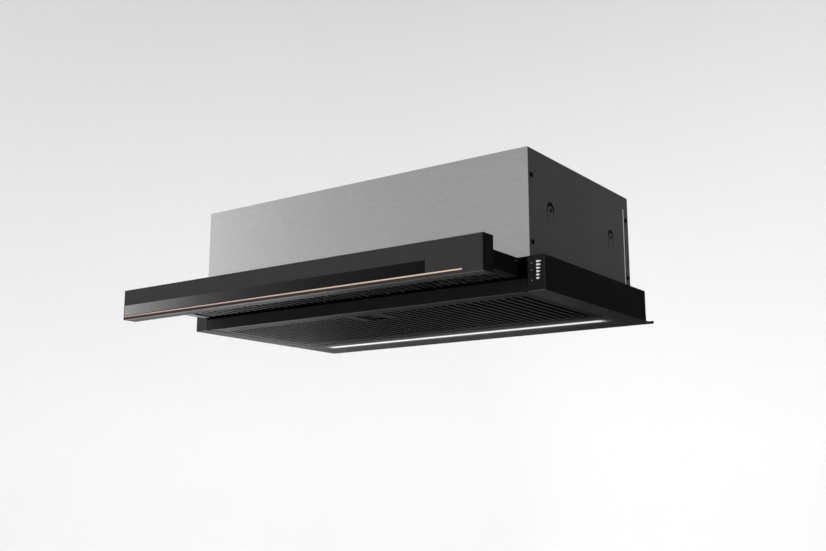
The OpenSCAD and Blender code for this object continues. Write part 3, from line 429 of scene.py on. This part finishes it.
def metal(name, colour, low, high, size=0.3, depth=0.006):
    finish = Finish(name, colour, 0.28, 1.0)
    finish.roughness(finish.group(HANDLING, Patch=12.0)["Unevenness"], low, high)
    finish.shade(finish.group(HANDLING, Patch=40.0)["Unevenness"], 0.88)
    finish.grain(size, depth)
    return finish.material


def mirror_with_painted_reflection(name, reflected_tone, dark, start, length, steepness):
    """Dark mirror with a painted reflection: bright at a start and deepening to dark along +X over a length,
    both in millimetres.
    """
    finish = Finish(name, dark, 0.1, 1.0)
    finish.blend(finish.fade(start, length, steepness), dark, reflected_tone)
    finish.roughness(finish.group(HANDLING, Patch=25.0)["Unevenness"], 0.12, 0.2)
    return finish.material


# What is left of the fade where the coloured metal starts to give off a painted highlight
PAINTED_GLOW_FROM = 0.55


def anodised_with_painted_light(name, deep, bright, stretch, start, length, steepness, highlight_strength):
    """Brushed coloured metal painted from deep to bright along +X, that gives off a painted highlight once
    it is bright.
    """
    finish = Finish(name, bright, 0.3, 1.0)
    lines = finish.group(BRUSH, Stretch=stretch)["Lines"]
    fade = finish.fade(start, length, steepness)
    mixed = blend_colours(finish.tree, fade, bright, deep)
    # Painted highlight, given off as emission
    lit = math_node(finish.tree, "MAXIMUM", math_node(finish.tree, "SUBTRACT", PAINTED_GLOW_FROM, fade), 0.0)
    lit = math_node(finish.tree, "MULTIPLY", lit, highlight_strength)
    fill(finish.shader, Base_Color=mixed, Emission_Color=mixed, Emission_Strength=lit)
    finish.roughness(lines, 0.24, 0.34)
    finish.bump(lines, 0.004)
    return finish.material


def glowing(name, colour, light, strength):
    """Lit plastic of one colour that gives off light of another."""
    finish = Finish(name, colour, 0.5, Emission_Strength=strength, Specular_IOR_Level=0.01)
    fill(finish.shader, Emission_Color=(*light, 1))
    finish.roughness(finish.group(HANDLING, Patch=20.0)["Unevenness"], 0.4, 0.55)
    return finish.material


# Where the visor bar's lit front edge ends and the painted shade on its rear part begins
VISOR_SHADE_START_IN = 5.5
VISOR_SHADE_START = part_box("visor_front")[0][1] / MM + VISOR_SHADE_START_IN
# Where the tray comes under the shade of the frame's front rail
TRAY_SHADE = -107.0
# Place and size of the light strip in millimetres
STRIP_LOW, STRIP_HIGH = [[v / MM for v in corner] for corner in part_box("led_diffuser")]
STRIP_MIDDLE = (STRIP_LOW[1] + STRIP_HIGH[1]) / 2
STRIP_HALF_WIDTH = 5.0
STRIP_HALF_LENGTH = STRIP_HIGH[0] - STRIP_HALF_WIDTH
# Middle and pitch along Y of the sides' tabs, and the height of their holes
TAB_MIDDLE = 52.45
TAB_PITCH = 176.2
TAB_HEIGHT = 112.4

FINISHES = {
    "brushed_steel": brushed("brushed_steel", (0.44, 0.438, 0.436), (110.0, 620.0, 620.0)),
    "side_paint": tabbed_side(
        "side_paint", (0.022, 0.022, 0.0231), grey(0.001), TAB_MIDDLE, TAB_PITCH, TAB_HEIGHT, 0.07
    ),
    # Painted light on the front rail: lighter at its left end, darkening to the right
    "rail_paint": rail_with_painted_light(
        "rail_paint", (0.026, 0.026, 0.0264), (0.0110, 0.0110, 0.0113), -268.0, 130.0, 3.0, 0.0012
    ),
    "deck_paint": lit_sheet(
        "deck_paint", (0.0100, 0.0100, 0.0102), (0.95, 0.93, 0.90), 0.55,
        STRIP_MIDDLE, STRIP_HALF_LENGTH, STRIP_HALF_WIDTH, 0.0012
    ),
    "frame_paint": painted("frame_paint", (0.0052, 0.0052, 0.0054), 0.0012),
    "underside_paint": painted("underside_paint", (0.0128, 0.0128, 0.013), 0.0012, 0.44, 0.52),
    # Painted light on the tray: underside painted light at its left end and dark to the right, upright faces
    # near black, painted shade behind the frame's front rail
    "tray_paint": coat_with_painted_light(
        "tray_paint", grey(0.003), grey(0.14), (0.008, 0.008, 0.0082), -266.0, 520.0, 5.0, 0.0005, TRAY_SHADE
    ),
    # Painted light and shade on the filter face: underside painted lighter at its left end, darkening to the
    # right, upright faces near black
    "filter_paint": coat_with_painted_light(
        "filter_paint", grey(0.001), grey(0.04), (0.0016, 0.0016, 0.0017), -262.0, 110.0, 3.0, 0.0005
    ),
    "galvanised_steel": zinc_coated("galvanised_steel", (0.52, 0.53, 0.54)),
    "dull_zinc": dull_zinc("dull_zinc", (0.50, 0.50, 0.505)),
    "screws": moulded("screws", (0.0015, 0.0015, 0.0016), 0.35, 0.45, 0.008),
    "fascia_plastic": moulded("fascia_plastic", (0.014, 0.014, 0.0145), gloss=0.02),
    "end_plastic": moulded("end_plastic", (0.038, 0.038, 0.039), gloss=0.02),
    "key_white": glowing("key_white", (0.46, 0.46, 0.45), (0.86, 0.86, 0.85), 0.34),
    "lamp_lens": moulded("lamp_lens", (0.50, 0.50, 0.49), 0.3, 0.4),
    "circuit_board": moulded("circuit_board", (0.02, 0.11, 0.05), 0.3, 0.4),
    "duct_plastic": moulded("duct_plastic", (0.028, 0.028, 0.030)),
    "blower_plastic": moulded("blower_plastic", (0.045, 0.045, 0.05)),
    "wheel_plastic": moulded("wheel_plastic", (0.075, 0.075, 0.08)),
    "bright_steel": metal("bright_steel", (0.6, 0.6, 0.61), 0.15, 0.25),
    "motor_metal": metal("motor_metal", (0.5, 0.5, 0.51), 0.35, 0.5, 0.6, 0.03),
    "capacitor_can": metal("capacitor_can", (0.6, 0.6, 0.61), 0.3, 0.4),
    "box_plastic": moulded("box_plastic", (0.42, 0.42, 0.41)),
    "light_diffuser": glowing("light_diffuser", (0.30, 0.30, 0.295), (0.9, 0.89, 0.875), 0.66),
    "bare_aluminium": metal("bare_aluminium", (0.56, 0.57, 0.58), 0.3, 0.42),
    "runner_steel": zinc_coated("runner_steel", (0.46, 0.47, 0.48), 0.25, 0.4, 3.0),
    # Painted shade on the visor bar: all but its front edge is painted darker
    "visor_grey": bar_with_painted_shade(
        "visor_grey", (0.037, 0.037, 0.0376), (0.008, 0.008, 0.0081), VISOR_SHADE_START, 0.0016, 0.0007
    ),
    "visor_end_plastic": moulded("visor_end_plastic", (0.0062, 0.0062, 0.0064), gloss=0.0),
    # Painted reflection on the gloss inlay: bright at its left end, fading to dark to the right
    "gloss_inlay": mirror_with_painted_reflection(
        "gloss_inlay", (0.150, 0.148, 0.146), (0.0055, 0.0055, 0.0057), -299.0, 520.0, 3.2
    ),
    # Painted light on the copper trim: darker at its left end, brighter to the right, with a painted
    # highlight there
    "copper_trim": anodised_with_painted_light(
        "copper_trim", (0.44, 0.265, 0.225), (0.77, 0.56, 0.45), (20.0, 1500.0, 1500.0),
        -299.0, 500.0, 1.6, 0.9
    ),
    "rubber": moulded("rubber", grey(0.014), 0.6, 0.75),
    # Painted shade: the grease filter's aluminium mesh is painted near black, as it lies in shade behind the
    # slots
    "filter_mesh": painted("filter_mesh", (0.004, 0.004, 0.0041), 0.0, 0.5, 0.7, 2.5, 0.05),
    # Painted shade on the latch: faces that look down are painted much darker than its upright faces
    "latch_plastic": coat_with_painted_light(
        "latch_plastic", (0.034, 0.034, 0.035), grey(0.003), grey(0.003), 0.0, 100.0, 1.0, 0.0004
    ),
    # Painted shade: the zinc runners are painted near black, as they lie in shade inside the frame
    "runner_painted_shade": zinc_coated("runner_painted_shade", (0.022, 0.022, 0.023), 0.4, 0.55, 3.0),
}

# Nodes whose visible finish differs from the others of their material
OWN_FINISHES = {
    "rear_wall": "frame_paint",
    "rear_spacer": "frame_paint",
    "back_panel": "dull_zinc",
    "end_fascia": "end_plastic",
    "side_panel_left": "side_paint",
    "side_panel_right": "side_paint",
    "front_rail": "rail_paint",
    "rear_deck": "deck_paint",
    "visor_back_plate": "underside_paint",
    # Zinc runners painted near black as painted shade
    "runner_brackets": "runner_painted_shade",
    "runner_outers": "runner_painted_shade",
    "runner_middles": "runner_painted_shade",
}

node_slots = {s["node"]: s["material_slot"] for s in frame["record"]["subparts"]}
for node_name, node_object in nodes.items():
    for slot in node_object.material_slots:
        slot.material = FINISHES[OWN_FINISHES.get(node_name, node_slots[node_name])]


# Softened edges

# Radius in millimetres of the edges of folded sheet and of mouldings
EDGE_RADII = {
    "front_panel": 0.6,
    "side_panel_left": 0.25,
    "side_panel_right": 0.25,
    "back_panel": 0.4,
    "top_panel": 0.4,
    "cheek_left": 0.5,
    "cheek_right": 0.5,
    "front_rail": 0.15,
    "rear_deck": 0.3,
    "rear_spacer": 0.3,
    "control_fascia": 0.2,
    "end_fascia": 0.5,
    "visor_front": 0.4,
    "visor_inlay": 0.3,
    "copper_trim": 0.3,
    "visor_back_plate": 0.3,
    "visor_end_caps": 0.5,
    "visor_tray": 0.2,
    "visor_grille": 0.08,
    "filter_face": 0.08,
    "filter_latch": 0.3,
    "electronics_box": 0.8,
    "electronics_lid": 0.8,
    "scroll_left": 0.3,
    "scroll_right": 0.3,
}
# Angles in degrees below which faces are one flat face, and above which an edge is sharp
FLAT_ANGLE = 1
EDGE_ANGLE = 40
EDGE_STEPS = 2
# Distance in millimetres within which corners are one
WELD_REACH = 0.001


def soften_edges(node_object, radius):
    """Rounds a node's sharp edges without touching its own mesh."""
    joined = node_object.modifiers.new("joined", "WELD")
    joined.merge_threshold = WELD_REACH * MM
    plain = node_object.modifiers.new("plain_faces", "DECIMATE")
    plain.decimate_type = "DISSOLVE"
    plain.angle_limit = math.radians(FLAT_ANGLE)
    rounded = node_object.modifiers.new("rounded", "BEVEL")
    rounded.width = radius * MM
    rounded.segments = EDGE_STEPS
    rounded.limit_method = "ANGLE"
    rounded.angle_limit = math.radians(EDGE_ANGLE)
    rounded.use_clamp_overlap = True


for node_name, radius in EDGE_RADII.items():
    soften_edges(nodes[node_name], radius)


# Fittings


def mesh_of(name, vertices, faces):
    made = bpy.data.meshes.new(name)
    made.from_pydata([tuple(v * MM for v in point) for point in vertices], [], faces)
    made.update()
    return made


def fitted(name, mesh, body, finish, slot_name, *replaced):
    """Puts a new piece on a body in a finish, in place of the nodes that it stands for."""
    piece = bpy.data.objects.new(name, mesh)
    scene.collection.objects.link(piece)
    mesh.materials.append(FINISHES[finish])
    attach(piece, body)
    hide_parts(*replaced)


def revolved(profile, steps):
    """Vertices and faces of a profile of (radius, height) turned round Z, closed at both ends."""
    vertices, faces = [], []
    for radius, height in profile:
        for i in range(steps):
            turn = 2 * math.pi * i / steps
            vertices.append((radius * math.cos(turn), radius * math.sin(turn), height))
    for ring in range(len(profile) - 1):
        for i in range(steps):
            j = (i + 1) % steps
            low, high = ring * steps, (ring + 1) * steps
            faces.append((low + i, low + j, high + j, high + i))
    faces.append(tuple(reversed(range(steps))))
    faces.append(tuple(len(vertices) - steps + i for i in range(steps)))
    return vertices, faces


def prism(outline, low, high, foot):
    """An outline between two heights, drawn in to a share of its size at the foot."""
    n = len(outline)
    vertices = [(x * foot, y * foot, low) for x, y in outline] + [(x, y, high) for x, y in outline]
    faces = [tuple(reversed(range(n))), tuple(range(n, 2 * n))]
    faces += [(i, (i + 1) % n, n + (i + 1) % n, n + i) for i in range(n)]
    return vertices, faces


def carved(mesh, cutter):
    """The mesh with the cutter's shape taken out of it."""
    block = bpy.data.objects.new("block", mesh)
    tool = bpy.data.objects.new("tool", cutter)
    for temporary in (block, tool):
        scene.collection.objects.link(temporary)
    cut = block.modifiers.new("recess", "BOOLEAN")
    cut.operation = "DIFFERENCE"
    cut.solver = "EXACT"
    cut.object = tool
    seen = block.evaluated_get(bpy.context.evaluated_depsgraph_get())
    made = bpy.data.meshes.new_from_object(seen)
    for temporary in (block, tool):
        bpy.data.objects.remove(temporary)
    return made


# Sizes of the casing's screws, in millimetres, degrees and shares
SCREW_HEAD_R = 3.3
SCREW_HEAD_H = 2.0
SCREW_CROWN_TURN = 62
SCREW_RIM_SHARE = 0.3
SCREW_SEAT_SHARE = 0.97
SCREW_SHANK_R = 1.5
SCREW_SHANK_L = 7
RECESS_ARM = 1.9
RECESS_HALF_W = 0.42
RECESS_DEPTH = 1.2
RECESS_FOOT = 0.55
RECESS_OVERRUN = 1
CROWN_STEPS = 7
SCREW_STEPS = 28


def screw_mesh():
    """Pan-head screw along Z with a cross recess, its head's underside at the origin."""
    widest = math.radians(SCREW_CROWN_TURN)
    crown = []
    for i in range(CROWN_STEPS):
        turn = widest * (1 - i / CROWN_STEPS)
        rise = (math.cos(turn) - math.cos(widest)) / (1 - math.cos(widest))
        height = SCREW_HEAD_H * (SCREW_RIM_SHARE + (1 - SCREW_RIM_SHARE) * rise)
        crown.append((SCREW_HEAD_R * math.sin(turn) / math.sin(widest), height))
    seat = (SCREW_HEAD_R * SCREW_SEAT_SHARE, 0)
    profile = [(SCREW_SHANK_R, -SCREW_SHANK_L), (SCREW_SHANK_R, 0), seat] + crown
    w, l = RECESS_HALF_W, RECESS_ARM
    cross = [
        (w, w), (w, l), (-w, l), (-w, w), (-l, w), (-l, -w),
        (-w, -w), (-w, -l), (w, -l), (w, -w), (l, -w), (l, w),
    ]
    recess = prism(cross, SCREW_HEAD_H - RECESS_DEPTH, SCREW_HEAD_H + RECESS_OVERRUN, RECESS_FOOT)
    return carved(mesh_of("screw", *revolved(profile, SCREW_STEPS)), mesh_of("recess", *recess))


# Places of the screws, read off the boxes of the panels that they hold
SIDE_SCREW_IN = 8.1
SIDE_SCREW_HEIGHTS = (19.7, 105)
UNDER_SCREW_IN = 7
UNDER_SCREW_X = 271.75
UNDER_SCREW_SCALE = (0.7, 0.7, 0.28)
FULL_SCALE = (1, 1, 1)
COLLAR_SCREW_R = 66.6
COLLAR_SCREW_TURN = 45
COLLAR_FLANGE_T = 2.4
# Turn in radians from one driven screw to the next
DRIVEN_STEP = 1.9


def screw_places():
    """Place in metres, outward direction and scale of each screw; those underneath are let in flush."""
    low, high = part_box("side_panel_right")
    frame_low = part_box("cheek_right")[0]
    ys = (low[1] + SIDE_SCREW_IN * MM, high[1] - SIDE_SCREW_IN * MM)
    for side in (-1, 1):
        for y in ys:
            for height in SIDE_SCREW_HEIGHTS:
                yield (side * high[0], y, low[2] + height * MM), (side, 0, 0), FULL_SCALE
        sunk = SCREW_HEAD_H * UNDER_SCREW_SCALE[2]
        under = (side * UNDER_SCREW_X, frame_low[1] / MM + UNDER_SCREW_IN, sunk)
        yield [v * MM for v in under], (0, 0, -1), UNDER_SCREW_SCALE
    middle = sum(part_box("outlet_collar")[i][1] for i in (0, 1)) / 2
    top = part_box("top_panel")[1][2] + COLLAR_FLANGE_T * MM
    reach = COLLAR_SCREW_R * MM
    for quarter in range(4):
        turn = math.radians(COLLAR_SCREW_TURN + 90 * quarter)
        yield (reach * math.cos(turn), middle + reach * math.sin(turn), top), (0, 0, 1), FULL_SCALE


def fit_screws():
    """All screws of the casing as one piece, each turned as it stopped when driven."""
    one = screw_mesh()
    made = bmesh.new()
    for number, (place, outward, scale) in enumerate(screw_places()):
        before = len(made.verts)
        made.from_mesh(one)
        made.verts.ensure_lookup_table()
        facing = Vector(outward).to_track_quat("Z", "Y").to_matrix().to_4x4()
        driven = Matrix.Rotation(number * DRIVEN_STEP, 4, "Z") @ Matrix.Diagonal((*scale, 1))
        matrix = Matrix.Translation(place) @ facing @ driven
        bmesh.ops.transform(made, matrix=matrix, verts=made.verts[before:])
    mesh = bpy.data.meshes.new("casing_screws")
    made.to_mesh(mesh)
    made.free()
    fitted("casing_screws", mesh, "housing", "screws", "screws", "housing_screws")


fit_screws()

# Expanded metal of the grease filter, in millimetres and degrees
MESH_LONG = 12
MESH_SHORT = 6
MESH_STRAND_W = 1.1
MESH_STRAND_T = 0.4
MESH_TWIST = 28
MESH_LIFTS = (1.2, 3.6)
MESH_MARGIN = 2
LATCH_MARGIN = 3


def strand(start, end, lean):
    """Corners at both ends of a flat strand, twisted by a lean about its own length."""
    forward = (end - start).normalized()
    across = Vector((-forward.y, forward.x, 0.0))
    up = Vector((0.0, 0.0, 1.0))
    wide = (across * math.cos(lean) + up * math.sin(lean)) * MESH_STRAND_W / 2
    thick = (up * math.cos(lean) - across * math.sin(lean)) * MESH_STRAND_T / 2
    corners = (wide + thick, wide - thick, -wide - thick, -wide + thick)
    return [tuple(point + corner) for point in (start, end) for corner in corners]


def fit_filter_mesh():
    """Two crossed layers of expanded metal that fill the filter behind its slotted face."""
    low, high = [[v / MM for v in corner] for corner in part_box("filter_mesh")]
    latch_low, latch_high = [[v / MM for v in corner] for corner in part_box("latch_guides")]
    vertices, faces = [], []
    step_x, step_y = MESH_LONG / 2, MESH_SHORT / 2
    columns = int((high[0] - low[0] - 2 * MESH_MARGIN) / step_x)
    rows = int((high[1] - low[1] - 2 * MESH_MARGIN) / step_y)
    for layer, lift in enumerate(MESH_LIFTS):
        lean = math.radians(MESH_TWIST if layer else -MESH_TWIST)
        for i in range(columns):
            for j in range(rows):
                rising = (i + j + layer) % 2 == 0
                x, y = low[0] + MESH_MARGIN + i * step_x, low[1] + MESH_MARGIN + j * step_y
                near_x = latch_low[0] - LATCH_MARGIN - step_x < x < latch_high[0] + LATCH_MARGIN
                if near_x and y < latch_high[1] + LATCH_MARGIN:
                    continue
                start = Vector((x, y if rising else y + step_y, low[2] + lift))
                end = Vector((x + step_x, y + step_y if rising else y, low[2] + lift))
                near, far = len(vertices), len(vertices) + 4
                vertices += strand(start, end, lean if rising else -lean)
                faces += [(near + k, near + (k + 1) % 4, far + (k + 1) % 4, far + k) for k in range(4)]
    mesh = mesh_of("grease_mesh", vertices, faces)
    fitted("grease_mesh", mesh, "filter", "filter_mesh", "filter_mesh", "filter_mesh")


fit_filter_mesh()


# Studio

# Sizes of floor and backdrop, in metres
FLOOR_Z = -1.75
STUDIO_RADIUS = 5.0
STUDIO_CURVE = 1.8
STUDIO_HEIGHT = 6.5
CURVE_STEPS = 16
ROUND_STEPS = 96


def studio_profile():
    points = [(0.0, 0.0), (STUDIO_RADIUS - STUDIO_CURVE, 0.0)]
    for i in range(1, CURVE_STEPS + 1):
        turn = math.pi / 2 * i / CURVE_STEPS
        points.append((
            STUDIO_RADIUS - STUDIO_CURVE + STUDIO_CURVE * math.sin(turn),
            STUDIO_CURVE * (1 - math.cos(turn)),
        ))
    points.append((STUDIO_RADIUS, STUDIO_HEIGHT))
    return points


def make_studio():
    """Pale floor that rises all round into a plain backdrop."""
    mesh = bpy.data.meshes.new("studio")
    profile = studio_profile()
    vertices = [(0.0, 0.0, FLOOR_Z)]
    for radius, height in profile[1:]:
        for i in range(ROUND_STEPS):
            turn = 2 * math.pi * i / ROUND_STEPS
            vertices.append((radius * math.cos(turn), radius * math.sin(turn), FLOOR_Z + height))
    faces = [(0, 1 + i, 1 + (i + 1) % ROUND_STEPS) for i in range(ROUND_STEPS)]
    for ring in range(len(profile) - 2):
        low = 1 + ring * ROUND_STEPS
        for i in range(ROUND_STEPS):
            j = (i + 1) % ROUND_STEPS
            faces.append((low + i, low + ROUND_STEPS + i, low + ROUND_STEPS + j, low + j))
    mesh.from_pydata(vertices, [], faces)
    for face in mesh.polygons:
        face.use_smooth = True
    studio = bpy.data.objects.new("studio", mesh)
    scene.collection.objects.link(studio)
    finish = Finish("studio_paint", grey(0.80), 0.9, Specular_IOR_Level=0.0)
    finish.shade(finish.group(HANDLING, Patch=900.0)["Unevenness"], 0.98)
    mesh.materials.append(finish.material)


make_studio()


def soft_lamp(name, place, size, power, target=(0.0, 0.0, 0.1), mirrored=False, matt=1.0):
    """Square soft box that faces the target; the camera never sees it, and metal only if mirrored."""
    data = bpy.data.lights.new(name, "AREA")
    data.shape = "RECTANGLE"
    data.size, data.size_y = size
    data.energy = power
    data.diffuse_factor = matt
    lamp = bpy.data.objects.new(name, data)
    lamp.location = place
    lamp.rotation_euler = (Vector(target) - Vector(place)).to_track_quat("-Z", "Y").to_euler()
    lamp.visible_camera = False
    lamp.visible_glossy = mirrored
    scene.collection.objects.link(lamp)


soft_lamp("left_box", (-3.2, -1.6, 0.7), (2.0, 1.6), 13, mirrored=True)
soft_lamp("key_lamp", (-1.6, -2.6, 1.6), (1.6, 1.2), 20)
soft_lamp("side_lamp", (3.2, -0.4, 1.2), (1.6, 1.4), 14)
soft_lamp("back_lamp", (-0.6, 3.0, 1.6), (2.0, 1.2), 16)
soft_lamp("low_lamp", (-0.75, -0.35, -0.55), (0.5, 0.5), 6, target=(-0.1, 0.0, 0.0))
soft_lamp("low_box", (-3.6, 2.4, -0.6), (2.2, 1.2), 92, mirrored=True)
soft_lamp("low_box_rear", (-2.6, 3.4, -0.6), (2.0, 1.2), 24, mirrored=True)
soft_lamp("right_box", (-0.4, -3.2, 0.9), (1.2, 1.0), 1.6, mirrored=True)
soft_lamp("edge_box", (2.4, -2.0, 0.6), (0.8, 1.6), 8, mirrored=True, matt=0.0)
soft_lamp("top_lamp", (0.0, 0.0, 3.2), (3.0, 3.0), 60)
soft_lamp("backdrop_lamp", (-1.0, 1.6, -0.9), (3.0, 1.2), 25, target=(-3.0, 4.2, 0.6))

WORLD_COLOUR = (*grey(0.9), 1)
WORLD_STRENGTH = 0.7

world = bpy.data.worlds.new("world")
world.use_nodes = True
scene.world = world
fill(world.node_tree.nodes["Background"], Color=WORLD_COLOUR, Strength=WORLD_STRENGTH)

scene.view_settings.view_transform = "Standard"
